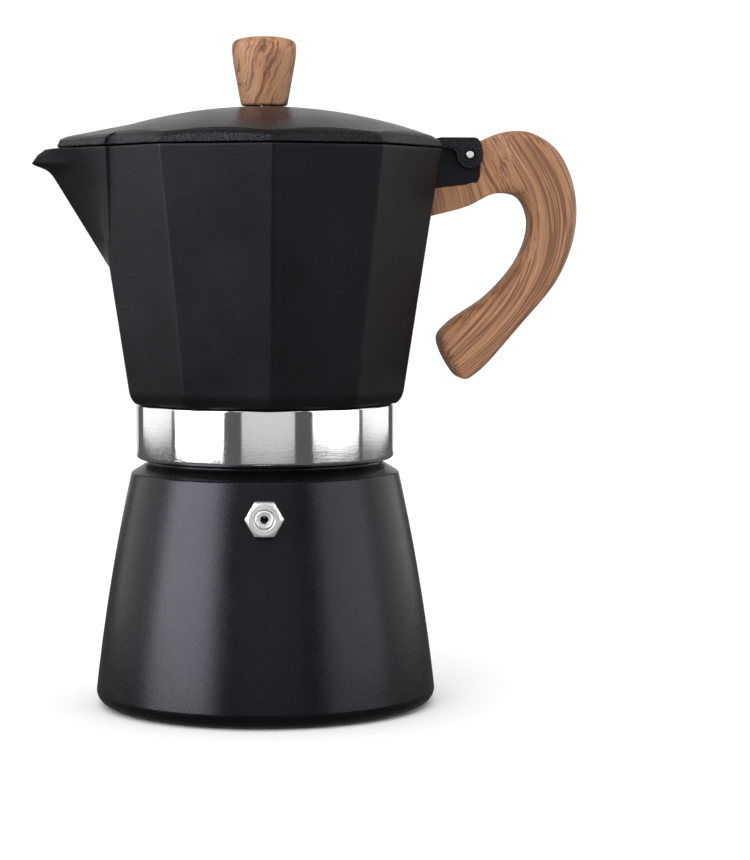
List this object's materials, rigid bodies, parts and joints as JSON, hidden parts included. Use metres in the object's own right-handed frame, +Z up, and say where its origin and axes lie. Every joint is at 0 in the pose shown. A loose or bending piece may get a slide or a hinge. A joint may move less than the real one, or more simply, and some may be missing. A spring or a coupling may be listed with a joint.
{
  "type": "stovetop moka pot",
  "caption": "Stovetop moka pot with a round boiler, screwed polished collar, ten-sided pouring chamber, hinged domed lid and wood-look handle and knob.",
  "frame": {"origin": "centre of the boiler's flat base, on the surface the pot stands on", "axes": "+X towards the handle, -X towards the spout, +Z up; the valve is on the -Y side"},
  "size_m": [0.1678, 0.1118, 0.2059],
  "materials": {
    "boiler_black": "satin black coated aluminium",
    "valve_fibre": "matt red-brown sealing washer",
    "valve_steel": "turned bright steel",
    "inner_aluminium": "plain satin aluminium",
    "gasket_rubber": "off-white rubber",
    "collar_polished": "mirror polished aluminium",
    "collector_black": "semi-matt black coated cast aluminium",
    "handle_wood": "satin wood look with lengthwise streaks",
    "screw_steel": "plain steel",
    "pin_steel": "bright steel",
    "lid_black": "glossy black coated aluminium",
    "knob_wood": "satin wood look with wavy streaks",
    "insert_brass": "plain brass"
  },
  "bodies": {
    "lower_chamber": {"boiler": "boiler_black", "valve_washer": "valve_fibre", "valve_body": "valve_steel", "valve_spring": "valve_steel", "valve_cap": "valve_steel"},
    "relief_ball": {"valve_ball": "valve_steel"},
    "coffee_funnel": {"funnel": "inner_aluminium", "funnel_plate": "inner_aluminium"},
    "seal": {"gasket": "gasket_rubber"},
    "upper_filter": {"filter_plate": "inner_aluminium"},
    "upper_chamber": {"threaded_collar": "collar_polished", "collector": "collector_black", "riser_column": "inner_aluminium", "handle": "handle_wood", "handle_screw": "screw_steel", "hinge_pin": "pin_steel"},
    "lid_assembly": {"lid": "lid_black", "knob": "knob_wood", "knob_insert": "insert_brass", "knob_screw": "screw_steel"}
  },
  "joints": [
    {"name": "funnel_lift", "type": "slide", "parent": "lower_chamber", "child": "coffee_funnel", "axis": [0, 0, 1], "range_m": [0, 0.096]},
    {"name": "upper_lift", "type": "slide", "parent": "coffee_funnel", "child": "seal", "axis": [0, 0, 1], "range_m": [0, 0.048]},
    {"name": "collector_rise", "type": "slide", "parent": "seal", "child": "upper_filter", "axis": [0, 0, 1], "range_m": [0, 0.006]},
    {"name": "collector_turn", "type": "hinge", "parent": "upper_filter", "child": "upper_chamber", "pos_m": [0, 0, 0.0935], "axis": [0, 0, 1], "range_deg": [0, 720]},
    {"name": "lid_hinge", "type": "hinge", "parent": "upper_chamber", "child": "lid_assembly", "pos_m": [0.0628, 0, 0.1698], "axis": [0, 1, 0], "range_deg": [0, 100]},
    {"name": "relief_lift", "type": "slide", "parent": "lower_chamber", "child": "relief_ball", "axis": [-0.0523, -0.9986, 0], "range_m": [0, 0.0012], "stiffness_N_per_m": 800, "deforming": ["valve_spring"]}
  ],
  "couplings": [
    {"joint": "collector_rise", "follows": "collector_turn", "m_per_rad": 0.00047746}
  ]
}
